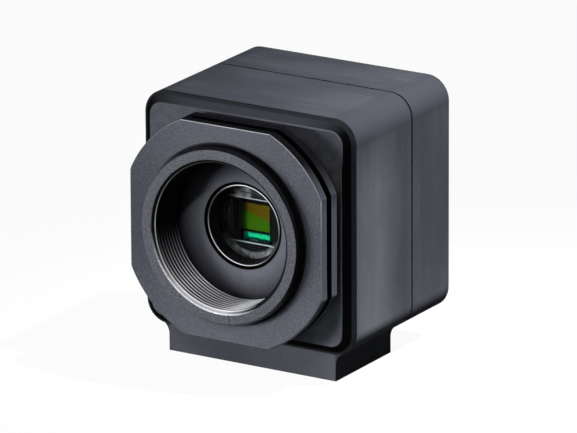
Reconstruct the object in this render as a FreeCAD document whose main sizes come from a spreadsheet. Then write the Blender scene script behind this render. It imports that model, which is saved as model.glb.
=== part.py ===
import FreeCAD, Part
import math
import os
import types

import Sketcher

# Machine vision camera: a square black aluminium housing in two shells on a mounting foot, a turned and
# milled front cover that carries an adjustable C/CS lens mount ring, and a stack of three boards behind
# the image sensor with the network and input/output sockets at the rear.
#
# Frame: origin at the centre of the foot's underside, +Z up, the lens looks towards -Y.
# Every body is drawn in optical coordinates: x and z from the optical axis, y from the front edge of the
# front shell, negative towards the lens. Its Placement then moves it into the frame.

DIMENSIONS = (
    # name, millimetres, what it sets
    ("body_width", 39.8, "outside width and height of the square housing"),
    ("corner_radius", 4.0, "radius of the housing's long edges"),
    ("wall", 2.2, "wall of both shells"),
    ("front_depth", 17.35, "depth of the front shell, and of the foot"),
    ("rear_depth", 11.95, "depth of the rear shell"),
    ("rear_wall", 2.5, "thickness of the rear shell's end wall"),
    ("rear_bevel", 0.25, "bevel on the rear shell's last edge"),
    ("foot_inset", 3.95, "from the housing's side to the foot's side"),
    ("foot_drop", 4.7, "height of the foot below the housing"),
    ("foot_blend", 2.4, "hollow radius between the foot and the housing"),
    ("tripod_radius", 2.6, "minor radius of the quarter inch tripod thread"),
    ("tripod_depth", 5.5, "depth of the tripod thread"),
    ("foot_screw_radius", 1.25, "minor radius of the M3 holes in the foot"),
    ("foot_screw_depth", 4.5, "depth of the M3 holes in the foot"),
    ("foot_screw_span", 24.0, "M3 holes, centre to centre across the foot"),
    ("foot_screw_row", 10.0, "M3 holes, centre to centre along the foot"),
    ("seal_thickness", 0.2, "front gasket"),
    ("seam_thickness", 0.4, "rear gasket"),
    ("seal_recess", 0.3, "gaskets lie this far inside the outer skin"),
    ("seal_width", 1.6, "width of the gasket frames"),
    ("fit_gap", 0.1, "side clearance of a part let into another"),
    ("cover_land", 0.2, "straight edge of the cover beside the gasket"),
    ("cover_bevel", 1.8, "width of the cover's bevel, seen from the front"),
    ("cover_reach", 1.75, "cover's flat face, ahead of the front shell"),
    ("spigot_depth", 2.8, "cover's spigot inside the front shell"),
    ("recess_inset", 1.7, "recess behind the cover, inside the tie screws' axes"),
    ("neck_length", 1.35, "groove between the cover's face and the rear disc"),
    ("mount_wall", 2.25, "metal between the ring's bore and the bottom of both grooves"),
    ("rear_disc", 1.7, "thickness of the mount flange's rear disc"),
    ("groove_width", 1.4, "groove between the two discs"),
    ("front_disc", 1.75, "thickness of the mount flange's front disc"),
    ("groove_depth", 2.8, "depth of both grooves below the turned discs"),
    ("flat_cut", 1.9, "depth of the flange's four milled flats"),
    ("flange_bevel", 0.2, "bevel on the flange's front edge"),
    ("mount_depth", 5.35, "depth of the bore that holds the mount ring"),
    ("ring_wall", 2.6, "wall of the mount ring outside its thread"),
    ("ring_running_gap", 0.05, "radial clearance of the mount ring in its bore"),
    ("ring_floor_gap", 0.3, "mount ring to the floor of its bore"),
    ("ring_proud", 2.0, "mount ring's face ahead of the flange"),
    ("ring_bevel", 0.15, "bevel on the mount ring's outer edge"),
    ("lens_radius", 12.3, "minor radius of the 1 inch by 32 lens thread"),
    ("mouth_flare", 0.66, "width of the lead-in at the ring's face"),
    ("mouth_depth", 0.69, "depth of the lead-in"),
    ("index_width", 0.25, "width of the index line cut in the ring's face"),
    ("index_depth", 0.15, "depth of the index line"),
    ("index_side", 1.9, "index line, right of the optical axis"),
    ("lock_screw_radius", 0.6, "set screws that lock the mount ring"),
    ("lock_recess", 0.25, "set screws below the bottom of the groove"),
    ("lock_socket", 0.35, "hexagon in the set screws, centre to corner"),
    ("lock_socket_depth", 0.7, "depth of that hexagon"),
    ("filter_bore", 7.25, "radius of the bore that holds the filter"),
    ("retainer_recess", 0.24, "filter retainer below the floor of the mount"),
    ("retainer_thickness", 1.9, "filter retainer"),
    ("collar_gap", 0.35, "shadow gap round the retainer's collar"),
    ("collar_height", 1.1, "retainer's collar, ahead of its thread"),
    ("rim_width", 0.36, "retainer's front rim"),
    ("retainer_taper", 0.44, "narrowing of the retainer's opening towards the filter"),
    ("filter_thickness", 0.7, "infrared cut filter"),
    ("mask_thickness", 0.5, "aperture mask"),
    ("mask_width", 8.0, "mask opening across"),
    ("mask_height", 7.4, "mask opening upright"),
    ("mask_step", 0.3, "step inside the mask opening, each side"),
    ("mask_land", 2.15, "flat land round the mask's dish"),
    ("mask_dish", 0.15, "depth of the dish in the mask's face"),
    ("filter_lip", 0.46, "lip behind the mask"),
    ("lip_width", 0.95, "width of that lip, in from the filter's bore"),
    ("flange_focal", 12.526, "CS mount: ring face to image plane in air"),
    ("glass_shift", 0.37, "focus shift through the filter and the sensor glass"),
    ("ring_setting", 0.45, "mount ring turned in from that distance, to suit its lens"),
    ("sensor_width", 4.9, "image area across"),
    ("dark_columns", 0.55, "shielded columns beside the image area"),
    ("sensor_height", 4.65, "image area upright"),
    ("circuit_height", 2.6, "readout circuits below the image area"),
    ("die_margin", 0.6, "plain silicon at the edges"),
    ("die_thickness", 0.4, "image sensor's silicon"),
    ("die_recess", 0.68, "silicon below the package's front face"),
    ("package_floor", 0.72, "ceramic behind the silicon"),
    ("package_width", 16.0, "sensor package across"),
    ("package_height", 16.0, "sensor package upright"),
    ("cavity_margin", 0.6, "package cavity round the silicon"),
    ("sensor_glass", 0.4, "thickness of the sensor's cover glass"),
    ("glass_inset", 1.5, "cover glass inside the package's edge"),
    ("dust_gap", 0.2, "dust gasket to the glass and to the package's edge"),
    ("board_thickness", 1.0, "each of the three boards"),
    ("board_gap", 3.0, "free height between two boards"),
    ("board_clearance", 0.5, "boards to the inside of the shells"),
    ("boss_reach", 4.1, "corner columns of the shells, from the inner wall"),
    ("post_inset", 2.9, "board screws, from the shells' inner wall"),
    ("post_fall", 4.1, "board screws, inside the corner columns' edge"),
    ("post_radius", 2.3, "posts behind the cover"),
    ("spacer_corner", 2.2, "hexagon spacers between the boards, centre to corner"),
    ("screw_radius", 1.0, "M2 board screws and tie screws"),
    ("screw_clearance", 0.15, "radial play of an M2 screw in a plain hole"),
    ("thread_clearance", 0.05, "radial play of an M2 screw in its thread"),
    ("screw_engagement", 2.6, "board screws inside the cover's posts"),
    ("head_radius", 1.9, "screw heads"),
    ("head_height", 1.3, "screw heads"),
    ("head_clearance", 0.2, "screw heads in their counterbores"),
    ("head_socket", 0.9, "hexagon in the screw heads, centre to corner"),
    ("head_socket_depth", 0.8, "depth of that hexagon"),
    ("tie_inset", 4.2, "tie screws, from the housing's sides"),
    ("tie_tip", 0.9, "tip of a tie screw behind the cover's flat face"),
    ("processor_width", 14.0, "processor, a square chip"),
    ("processor_thickness", 1.5, "processor"),
    ("memory_width", 6.0, "memory chips across"),
    ("memory_height", 9.0, "memory chips upright"),
    ("memory_side", 6.5, "memory chips, left and right of the axis"),
    ("memory_rise", 4.0, "memory chips above the axis"),
    ("chip_thickness", 1.1, "memory chips and network controller"),
    ("controller_width", 8.0, "network controller, a square chip"),
    ("controller_drop", 6.5, "network controller below the axis"),
    ("link_width", 16.0, "board connectors across"),
    ("link_height", 3.4, "board connectors upright"),
    ("link_inset", 3.2, "centre of the board connectors, from the board's edge"),
    ("inductor_width", 5.0, "power inductor, a square block"),
    ("inductor_height", 2.6, "power inductor above its board"),
    ("inductor_inset", 4.0, "centre of the power inductor, from the board's edge"),
    ("inductor_rise", 3.4, "power inductor above the axis"),
    ("magnetics_width", 5.6, "network magnetics across"),
    ("magnetics_height", 8.6, "network magnetics upright"),
    ("magnetics_inset", 4.2, "centre of the network magnetics, from the board's edge"),
    ("magnetics_gap", 2.7, "network magnetics' lower end, from the board screws' level"),
    ("magnetics_thickness", 2.4, "network magnetics"),
    ("jack_width", 15.9, "network jack across"),
    ("jack_height", 13.2, "network jack upright"),
    ("jack_drop", 7.3, "centre of the network jack below the axis"),
    ("jack_setback", 0.1, "network jack inside the rear face"),
    ("shield_thickness", 0.25, "sheet metal round the network jack"),
    ("socket_width", 11.8, "plug opening across"),
    ("socket_height", 6.8, "plug opening upright, without the latch slot"),
    ("socket_rise", 0.9, "centre of the plug opening above the jack's centre"),
    ("socket_depth", 12.6, "plug opening into the jack"),
    ("latch_width", 6.2, "latch slot across"),
    ("latch_height", 1.6, "latch slot upright"),
    ("latch_key_width", 3.4, "latch slot's narrow end across"),
    ("latch_key_height", 1.3, "latch slot's narrow end upright"),
    ("contact_pitch", 1.02, "spacing of the jack's eight contacts"),
    ("contact_width", 0.45, "width of one contact"),
    ("contact_run", 9.0, "contact spring along the plug opening"),
    ("contact_drop", 1.9, "free end of a contact below the opening's roof"),
    ("contact_thickness", 0.35, "thickness of one contact"),
    ("io_side", 6.6, "round connector, left of the axis seen from the front"),
    ("io_rise", 7.6, "round connector above the axis"),
    ("io_barrel", 5.4, "outside radius of the round connector's barrel"),
    ("io_wall", 0.8, "wall of that barrel"),
    ("io_rim", 1.0, "flange on the rear face, outside the barrel"),
    ("io_flange_height", 1.2, "flange of the round connector"),
    ("io_length", 8.0, "barrel from the rear face inwards"),
    ("io_channel_width", 1.1, "ring channel for the plug, round the insert's island"),
    ("io_setback", 0.8, "island's face inside the barrel's mouth"),
    ("io_channel", 6.4, "depth of that channel"),
    ("io_pin_width", 0.5, "square contact pins"),
    ("io_hole_radius", 0.36, "contact holes in the island"),
    ("io_hole_depth", 2.6, "contact holes in the island"),
    ("io_outer_circle", 2.5, "radius of the circle of eight pins"),
    ("io_inner_circle", 1.0, "radius of the circle of four pins"),
    ("io_nut_rim", 1.53, "hexagon nut's corners outside the barrel"),
    ("io_nut_height", 2.0, "hexagon nut"),
    ("light_radius", 1.0, "light pipes"),
    ("light_left", 4.6, "inner light pipe, right of the axis"),
    ("light_pitch", 3.6, "spacing of the two light pipes"),
    ("light_rise", 9.0, "light pipes above the axis"),
    ("lamp_width", 1.6, "indicator lamps, square"),
    ("lamp_height", 0.8, "indicator lamps above their board"),
)


class Size:
    """A length with its value and the spreadsheet formula that gives it."""

    def __init__(self, value, text):
        self.value = float(value)
        self.text = text

    @staticmethod
    def of(thing):
        return thing if isinstance(thing, Size) else Size(thing, repr(float(thing)))

    def joined(self, other, sign, value):
        return Size(value, f"({self.text} {sign} {other.text})")

    def __add__(self, other):
        other = Size.of(other)
        return self.joined(other, "+", self.value + other.value)

    def __sub__(self, other):
        other = Size.of(other)
        return self.joined(other, "-", self.value - other.value)

    def __mul__(self, other):
        other = Size.of(other)
        return self.joined(other, "*", self.value * other.value)

    def __truediv__(self, other):
        other = Size.of(other)
        return self.joined(other, "/", self.value / other.value)

    def __neg__(self):
        return Size(-self.value, f"(0 - {self.text})")


def root(size):
    return Size(math.sqrt(size.value), f"sqrt({size.text})")


doc = FreeCAD.newDocument("machine_vision_camera")
V = FreeCAD.Vector
S = types.SimpleNamespace(**{name: Size(number, f"Sizes.{name}") for name, number, _ in DIMENSIONS})


def make_sheet():
    sheet = doc.addObject("Spreadsheet::Sheet", "Sizes")
    for row, (name, number, meaning) in enumerate(DIMENSIONS, 1):
        sheet.set(f"A{row}", name)
        sheet.set(f"B{row}", str(number))
        sheet.set(f"C{row}", meaning)
        sheet.setAlias(f"B{row}", name)
    doc.recompute()


make_sheet()

# Planes along the optical axis, from the front edge of the front shell.
COVER_BACK = -S.seal_thickness
COVER_FACE = -S.cover_reach
REAR_DISC_BACK = COVER_FACE - S.neck_length
REAR_DISC_FACE = REAR_DISC_BACK - S.rear_disc
FRONT_DISC_BACK = REAR_DISC_FACE - S.groove_width
FLANGE_FACE = FRONT_DISC_BACK - S.front_disc
RING_FACE = FLANGE_FACE - S.ring_proud
MOUNT_FLOOR = FLANGE_FACE + S.mount_depth
RING_BACK = MOUNT_FLOOR - S.ring_floor_gap
RETAINER_FACE = MOUNT_FLOOR + S.retainer_recess
FILTER_FACE = RETAINER_FACE + S.retainer_thickness
MASK_FACE = FILTER_FACE + S.filter_thickness
MASK_BACK = MASK_FACE + S.mask_thickness
LIP_BACK = MASK_BACK + S.filter_lip
DIE_FACE = RING_FACE + S.flange_focal + S.glass_shift - S.ring_setting
DIE_BACK = DIE_FACE + S.die_thickness
PACKAGE_FACE = DIE_FACE - S.die_recess
SENSOR_BOARD_FACE = DIE_BACK + S.package_floor
SENSOR_BOARD_BACK = SENSOR_BOARD_FACE + S.board_thickness
MAIN_BOARD_FACE = SENSOR_BOARD_BACK + S.board_gap
MAIN_BOARD_BACK = MAIN_BOARD_FACE + S.board_thickness
SOCKET_BOARD_FACE = MAIN_BOARD_BACK + S.board_gap
SOCKET_BOARD_BACK = SOCKET_BOARD_FACE + S.board_thickness
REAR_SHELL_FACE = S.front_depth + S.seam_thickness
REAR_FACE = REAR_SHELL_FACE + S.rear_depth
REAR_WALL_FACE = REAR_FACE - S.rear_wall
JACK_FACE = REAR_FACE - S.jack_setback
ISLAND_FACE = REAR_FACE + S.io_flange_height - S.io_setback

# Widths across the optical axis.
HALF = S.body_width / 2
INNER_HALF = HALF - S.wall
INNER_RADIUS = S.corner_radius - S.wall
COLUMN_HALF = INNER_HALF - S.boss_reach
BOARD_HALF = INNER_HALF - S.board_clearance
TIE_POSITION = HALF - S.tie_inset
POST_SIDE = INNER_HALF - S.post_inset
POST_RISE = COLUMN_HALF - S.post_fall
AXIS_HEIGHT = HALF + S.foot_drop
JACK_CENTRE = -S.jack_drop
IO_BORE = S.io_barrel - S.io_wall

# Radii round the optical axis, from the lens thread outwards.
RING_RADIUS = S.lens_radius + S.ring_wall
MOUTH_RADIUS = S.lens_radius + S.mouth_flare
MOUNT_BORE = RING_RADIUS + S.ring_running_gap
NECK_RADIUS = MOUNT_BORE + S.mount_wall
FLANGE_RADIUS = NECK_RADIUS + S.groove_depth
FLANGE_FLAT = FLANGE_RADIUS - S.flat_cut
FILTER_RADIUS = S.filter_bore - S.fit_gap
COLLAR_RADIUS = S.filter_bore - S.collar_gap
RETAINER_FRONT = COLLAR_RADIUS - S.rim_width


def bind(thing, field, size):
    thing.setExpression(field, Size.of(size).text)


def corners(reach, rise=None):
    rise = rise or reach
    return [(reach, rise), (-reach, rise), (-reach, -rise), (reach, -rise)]


def new_body(label):
    body = doc.addObject("PartDesign::Body", label)
    body.Label = label
    bind(body, "Placement.Base.y", -S.front_depth / 2)
    bind(body, "Placement.Base.z", AXIS_HEIGHT)
    return body


class Profile:
    """A fully dimensioned sketch on one of a body's own origin planes."""

    # Which way each plane's sketch normal points along its axis.
    FACING = {"XZ_Plane": -1, "YZ_Plane": 1, "XY_Plane": 1}

    def __init__(self, body, name, level=0, plane="XZ_Plane"):
        self.body = body
        self.sketch = body.newObject("Sketcher::SketchObject", f"{body.Label}_{name}")
        support = next(each for each in body.Origin.OriginFeatures if each.Role == plane)
        self.sketch.AttachmentSupport = (support, [""])
        self.sketch.MapMode = "FlatFace"
        bind(self.sketch, "AttachmentOffset.Base.z", Size.of(level) * Profile.FACING[plane])

    def size(self, kind, size, *where):
        size = Size.of(size)
        index = self.sketch.addConstraint(Sketcher.Constraint(kind, *where, size.value))
        bind(self.sketch, f"Constraints[{index}]", size)

    def pin(self, edge, end, point):
        self.size("DistanceX", point[0], -1, 1, edge, end)
        self.size("DistanceY", point[1], -1, 1, edge, end)

    def circle(self, point, radius):
        x, z, radius = (Size.of(each) for each in (*point, radius))
        curve = Part.Circle(V(x.value, z.value, 0), V(0, 0, 1), radius.value)
        edge = self.sketch.addGeometry(curve, False)
        self.size("Radius", radius, edge)
        self.pin(edge, 3, point)

    def outline(self, points, arcs=None):
        """Closed outline through points; arcs gives an edge's centre, radius and sense by its number."""
        arcs = arcs or {}
        places = [V(Size.of(x).value, Size.of(z).value, 0) for x, z in points]
        ends = []
        for number, start in enumerate(places):
            stop = places[(number + 1) % len(places)]
            if number in arcs:
                ends.append(self.arc(start, stop, *arcs[number]))
            else:
                ends.append((self.sketch.addGeometry(Part.LineSegment(start, stop), False), 1, 2))
        for number, (edge, first, _) in enumerate(ends):
            before, _, last = ends[number - 1]
            self.sketch.addConstraint(Sketcher.Constraint("Coincident", before, last, edge, first))
            self.pin(edge, first, points[number])
        for number, (_, radius, _) in arcs.items():
            self.size("Radius", radius, ends[number][0])

    def arc(self, start, stop, centre, radius, turn):
        """Adds an arc from start to stop, turning left with turn 1 and right with turn -1."""
        middle = V(Size.of(centre[0]).value, Size.of(centre[1]).value, 0)
        begin, finish = (start, stop) if turn > 0 else (stop, start)
        angles = [math.atan2(each.y - middle.y, each.x - middle.x) for each in (begin, finish)]
        if angles[1] <= angles[0]:
            angles[1] += 2 * math.pi
        circle = Part.Circle(middle, V(0, 0, 1), Size.of(radius).value)
        edge = self.sketch.addGeometry(Part.ArcOfCircle(circle, *angles), False)
        return (edge, 1, 2) if turn > 0 else (edge, 2, 1)

    def rectangle(self, centre, width, height):
        x, z = (Size.of(each) for each in centre)
        across, up = width / 2, height / 2
        self.outline([(x - across, z - up), (x + across, z - up), (x + across, z + up), (x - across, z + up)])

    def square(self, half):
        self.outline(corners(half))

    def rounded_square(self, half, radius):
        inner = half - radius
        self.outline(
            [(half, -inner), (half, inner), (inner, half), (-inner, half),
             (-half, inner), (-half, -inner), (-inner, -half), (inner, -half)],
            {1: ((inner, inner), radius, 1), 3: ((-inner, inner), radius, 1),
             5: ((-inner, -inner), radius, 1), 7: ((inner, -inner), radius, 1)})

    def cross(self, half, notch):
        """A square with a square notch at each corner, which leaves room for the corner columns."""
        self.outline([(half, -notch), (half, notch), (notch, notch), (notch, half), (-notch, half),
                      (-notch, notch), (-half, notch), (-half, -notch), (-notch, -notch),
                      (-notch, -half), (notch, -half), (notch, -notch)])

    def hexagon(self, centre, corner):
        x, z = (Size.of(each) for each in centre)
        rise = corner * (math.sqrt(3) / 2)
        self.outline([(x + corner, z), (x + corner / 2, z + rise), (x - corner / 2, z + rise),
                      (x - corner, z), (x - corner / 2, z - rise), (x + corner / 2, z - rise)])


def feature(profile, kind, name):
    item = profile.body.newObject(f"PartDesign::{kind}", f"{profile.body.Label}_{name}")
    item.Profile = profile.sketch
    return item


def pad(profile, length, forwards=False, name="pad"):
    """Adds material from the sketch towards the rear, or towards the lens."""
    item = feature(profile, "Pad", name)
    item.Reversed = not forwards
    bind(item, "Length", length)
    doc.recompute()
    return item


def pocket(profile, length, forwards=False, name="pocket"):
    """Cuts from the sketch towards the rear, or towards the lens (upwards from an XY sketch)."""
    before = profile.body.Tip.Shape.Volume
    item = feature(profile, "Pocket", name)
    item.Reversed = forwards
    bind(item, "Length", length)
    doc.recompute()
    if item.Shape.Volume >= before:
        raise ValueError(f"{item.Label} cuts nothing")
    return item


def turn(profile, kind="Revolution", name="turned"):
    """Turns a profile of (y, radius) points about the optical axis, to add or to cut."""
    item = feature(profile, kind, name)
    item.ReferenceAxis = (profile.sketch, ["H_Axis"])
    item.Angle = 360
    doc.recompute()
    return item


def slab(label, face, back, *shapes):
    """A body padded from one plane to another; each shape is a method of Profile and its arguments."""
    body = new_body(label)
    profile = Profile(body, "outline", face)
    for shape, *arguments in shapes:
        getattr(profile, shape)(*arguments)
    pad(profile, back - face)
    return body


def holes(body, name, face, depth, centres, radius, forwards=False):
    profile = Profile(body, name, face)
    for centre in centres:
        profile.circle(centre, radius)
    return pocket(profile, depth, forwards, name)


# ---------------------------------------------------------------- front cover and lens mount

def front_cover():
    """Bevelled square plate, its spigot, and the two-disc mount flange, in one piece."""
    body = new_body("front_cover")
    land = Profile(body, "land", COVER_BACK)
    land.rounded_square(HALF, S.corner_radius)
    pad(land, S.cover_land, forwards=True, name="edge")

    foot = Profile(body, "bevel_foot", COVER_BACK - S.cover_land)
    foot.rounded_square(HALF, S.corner_radius)
    top = Profile(body, "bevel_top", COVER_FACE)
    top.rounded_square(HALF - S.cover_bevel, S.corner_radius - S.cover_bevel)
    bevel = feature(foot, "AdditiveLoft", "bevel")
    bevel.Sections = [top.sketch]
    bevel.Ruled = True
    doc.recompute()

    spigot = Profile(body, "spigot", COVER_BACK)
    spigot.rounded_square(INNER_HALF - S.fit_gap, INNER_RADIUS - S.fit_gap)
    pad(spigot, S.spigot_depth - COVER_BACK, name="spigot_block")

    cover_flange(body)
    cover_bores(body)
    cover_back(body)
    return body


def cover_flange(body):
    inside = COVER_FACE + S.cover_bevel / 2
    edge = FLANGE_RADIUS - S.flange_bevel
    discs = Profile(body, "discs", plane="YZ_Plane")
    discs.outline([(FLANGE_FACE, 0), (FLANGE_FACE, edge), (FLANGE_FACE + S.flange_bevel, FLANGE_RADIUS),
                   (FRONT_DISC_BACK, FLANGE_RADIUS), (FRONT_DISC_BACK, NECK_RADIUS),
                   (REAR_DISC_FACE, NECK_RADIUS), (REAR_DISC_FACE, FLANGE_RADIUS),
                   (REAR_DISC_BACK, FLANGE_RADIUS), (REAR_DISC_BACK, NECK_RADIUS),
                   (inside, NECK_RADIUS), (inside, 0)])
    turn(discs, name="turned_discs")

    flats = Profile(body, "flats", FLANGE_FACE)
    flats.square(FLANGE_RADIUS + S.flange_bevel)
    flats.square(FLANGE_FLAT)
    pocket(flats, REAR_DISC_BACK - FLANGE_FACE, name="milled_flats")


def cover_bores(body):
    ahead = FLANGE_FACE - S.flange_bevel
    behind = S.spigot_depth + S.fit_gap
    opening = S.filter_bore - S.lip_width
    bores = Profile(body, "bores", plane="YZ_Plane")
    bores.outline([(ahead, 0), (ahead, MOUNT_BORE), (MOUNT_FLOOR, MOUNT_BORE),
                   (MOUNT_FLOOR, S.filter_bore), (MASK_BACK, S.filter_bore),
                   (MASK_BACK, opening), (behind, opening), (behind, 0)])
    turn(bores, "Groove", "bored")
    for name, across, up in (("left", -1, 0), ("lower", 0, -1)):
        lock_hole(body, name, across, up)


def lock_hole(body, name, across, up):
    """Radial thread for one set screw, in the groove between the two discs."""
    plane = "YZ_Plane" if across else "XY_Plane"
    middle = (REAR_DISC_FACE + FRONT_DISC_BACK) / 2
    start = S.lens_radius
    profile = Profile(body, f"lock_hole_{name}", -start, plane)
    place = (middle, 0) if across else (0, middle)
    profile.circle(place, S.lock_screw_radius + S.thread_clearance)
    pocket(profile, NECK_RADIUS - start + S.fit_gap, name=f"lock_thread_{name}")


def cover_back(body):
    """Recess for the sensor, posts for the boards, and the threads for both sets of screws."""
    recess = Profile(body, "recess", LIP_BACK)
    recess.square(TIE_POSITION - S.recess_inset)
    pocket(recess, S.spigot_depth - LIP_BACK + S.fit_gap, name="sensor_recess")

    posts = Profile(body, "posts", LIP_BACK - S.filter_lip / 2)
    for centre in corners(POST_SIDE, POST_RISE):
        posts.circle(centre, S.post_radius)
    pad(posts, SENSOR_BOARD_FACE - LIP_BACK + S.filter_lip / 2, name="board_posts")

    thread = S.screw_radius + S.thread_clearance
    holes(body, "post_threads", SENSOR_BOARD_FACE, S.screw_engagement + S.fit_gap,
          corners(POST_SIDE, POST_RISE), thread, forwards=True)
    holes(body, "tie_threads", S.spigot_depth, S.spigot_depth - COVER_FACE - S.tie_tip + S.fit_gap,
          corners(TIE_POSITION), thread, forwards=True)


def mount_ring():
    """Threaded ring that takes the lens; it screws in and out of the cover to set the back focus."""
    body = new_body("mount_ring")
    section = Profile(body, "section", plane="YZ_Plane")
    section.outline([(RING_FACE, MOUTH_RADIUS), (RING_FACE, RING_RADIUS - S.ring_bevel),
                     (RING_FACE + S.ring_bevel, RING_RADIUS), (RING_BACK, RING_RADIUS),
                     (RING_BACK, S.lens_radius), (RING_FACE + S.mouth_depth, S.lens_radius)])
    turn(section)
    line = Profile(body, "index_line", RING_FACE)
    middle = (RING_RADIUS + MOUTH_RADIUS) / 2
    line.rectangle((S.index_side, -middle), S.index_width, RING_RADIUS - MOUTH_RADIUS + S.ring_bevel * 4)
    pocket(line, S.index_depth, name="index_cut")
    return body


def lock_screws():
    """Two set screws in the groove, out of sight on the left and below, that lock the mount ring."""
    body = new_body("ring_lock_screws")
    middle = (REAR_DISC_FACE + FRONT_DISC_BACK) / 2
    tip = MOUNT_BORE + S.fit_gap
    end = NECK_RADIUS - S.lock_recess
    for name, plane, place in (("left", "YZ_Plane", (middle, 0)), ("lower", "XY_Plane", (0, middle))):
        shank = Profile(body, f"shank_{name}", -tip, plane)
        shank.circle(place, S.lock_screw_radius)
        pad(shank, end - tip, name=f"screw_{name}")
    for name, plane, place in (("left", "YZ_Plane", (middle, 0)), ("lower", "XY_Plane", (0, middle))):
        key = Profile(body, f"key_{name}", S.lock_socket_depth - end, plane)
        key.hexagon(place, S.lock_socket)
        pocket(key, S.lock_socket_depth, name=f"socket_{name}")
    return body


def filter_retainer():
    """Threaded ring on the filter, with a slimmer collar that ends in a narrow rim."""
    body = new_body("filter_retainer")
    collar_back = RETAINER_FACE + S.collar_height
    section = Profile(body, "section", plane="YZ_Plane")
    section.outline([(RETAINER_FACE, RETAINER_FRONT), (RETAINER_FACE, COLLAR_RADIUS),
                     (collar_back, COLLAR_RADIUS), (collar_back, FILTER_RADIUS),
                     (FILTER_FACE, FILTER_RADIUS), (FILTER_FACE, RETAINER_FRONT - S.retainer_taper)])
    turn(section)
    return body


def aperture_mask():
    """Black disc behind the filter, dished in front, with a stepped rectangular opening."""
    body = slab("aperture_mask", MASK_FACE, MASK_BACK, ("circle", (0, 0), FILTER_RADIUS))
    dish = Profile(body, "dish", MASK_FACE)
    dish.circle((0, 0), FILTER_RADIUS - S.mask_land)
    pocket(dish, S.mask_dish, name="dished_face")
    front = Profile(body, "opening", MASK_FACE)
    front.rectangle((0, 0), S.mask_width, S.mask_height)
    pocket(front, S.mask_thickness / 2, name="front_opening")
    back = Profile(body, "inner_opening", MASK_FACE)
    back.rectangle((0, 0), S.mask_width - S.mask_step * 2, S.mask_height - S.mask_step * 2)
    pocket(back, S.mask_thickness, name="rear_opening")
    return body


def gasket(label, face, thickness):
    """Thin square frame between two castings, set back from the outer skin."""
    outer = HALF - S.seal_recess
    inner = outer - S.seal_width
    radius = S.corner_radius - S.seal_recess
    return slab(label, face, face + thickness, ("rounded_square", outer, radius),
                ("rounded_square", inner, radius - S.seal_width))


# ---------------------------------------------------------------- housing

def housing_outline(profile):
    """Square with rounded corners, standing on a foot that flows into the lower corners."""
    centre = HALF - S.corner_radius
    foot = HALF - S.foot_inset
    ground = -AXIS_HEIGHT
    blend_side = foot + S.foot_blend
    reach = S.corner_radius + S.foot_blend
    aside = blend_side - centre
    blend_level = -centre - root(reach * reach - aside * aside)
    share = S.corner_radius / reach
    meet_side = centre + aside * share
    meet_level = -centre + (blend_level + centre) * share
    profile.outline(
        [(-foot, ground), (foot, ground), (foot, blend_level), (meet_side, meet_level),
         (HALF, -centre), (HALF, centre), (centre, HALF), (-centre, HALF),
         (-HALF, centre), (-HALF, -centre), (-meet_side, meet_level), (-foot, blend_level)],
        {2: ((blend_side, blend_level), S.foot_blend, -1), 3: ((centre, -centre), S.corner_radius, 1),
         5: ((centre, centre), S.corner_radius, 1), 7: ((-centre, centre), S.corner_radius, 1),
         9: ((-centre, -centre), S.corner_radius, 1), 10: ((-blend_side, blend_level), S.foot_blend, -1)})


def front_housing():
    body = new_body("front_housing")
    section = Profile(body, "section", 0)
    housing_outline(section)
    pad(section, S.front_depth, name="extrusion")
    mouth = Profile(body, "mouth", 0)
    mouth.rounded_square(INNER_HALF, INNER_RADIUS)
    pocket(mouth, S.spigot_depth + S.fit_gap, name="cover_seat")
    inside = Profile(body, "inside", 0)
    inside.cross(INNER_HALF, COLUMN_HALF)
    pocket(inside, S.front_depth, name="hollow")
    holes(body, "tie_holes", 0, S.front_depth, corners(TIE_POSITION), S.screw_radius + S.screw_clearance)
    foot_threads(body)
    return body


def foot_threads(body):
    """Quarter inch tripod thread in the middle of the foot, and four M3 threads round it."""
    middle = S.front_depth / 2
    tripod = Profile(body, "tripod", -AXIS_HEIGHT, "XY_Plane")
    tripod.circle((0, middle), S.tripod_radius)
    pocket(tripod, S.tripod_depth, forwards=True, name="tripod_thread")
    side, row = S.foot_screw_span / 2, S.foot_screw_row / 2
    small = Profile(body, "foot_screws", -AXIS_HEIGHT, "XY_Plane")
    for x, y in ((side, row), (-side, row), (-side, -row), (side, -row)):
        small.circle((x, middle + y), S.foot_screw_radius)
    pocket(small, S.foot_screw_depth, forwards=True, name="foot_threads")


def rear_housing():
    """Cup that closes the rear, with the sockets' openings and the tie screws' counterbores."""
    body = slab("rear_housing", REAR_SHELL_FACE, REAR_FACE - S.rear_bevel,
                ("rounded_square", HALF, S.corner_radius))
    foot = Profile(body, "bevel_foot", REAR_FACE - S.rear_bevel)
    foot.rounded_square(HALF, S.corner_radius)
    top = Profile(body, "bevel_top", REAR_FACE)
    top.rounded_square(HALF - S.rear_bevel, S.corner_radius - S.rear_bevel)
    bevel = feature(foot, "AdditiveLoft", "bevel")
    bevel.Sections = [top.sketch]
    bevel.Ruled = True
    doc.recompute()

    inside = Profile(body, "inside", REAR_SHELL_FACE)
    inside.cross(INNER_HALF, COLUMN_HALF)
    pocket(inside, REAR_WALL_FACE - REAR_SHELL_FACE, name="hollow")
    jack = Profile(body, "jack_opening", REAR_WALL_FACE)
    around = (S.shield_thickness + S.fit_gap) * 2
    jack.rectangle((0, JACK_CENTRE), S.jack_width + around, S.jack_height + around)
    pocket(jack, S.rear_wall, name="jack_window")
    holes(body, "io_hole", REAR_WALL_FACE, S.rear_wall, [(-S.io_side, S.io_rise)], S.io_barrel + S.fit_gap)
    holes(body, "light_holes", REAR_WALL_FACE, S.rear_wall, light_centres(), S.light_radius + S.fit_gap)
    holes(body, "tie_holes", REAR_SHELL_FACE, S.rear_depth, corners(TIE_POSITION),
          S.screw_radius + S.screw_clearance)
    holes(body, "counterbores", REAR_FACE, S.head_height + S.head_clearance, corners(TIE_POSITION),
          S.head_radius + S.head_clearance, forwards=True)
    return body


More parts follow.
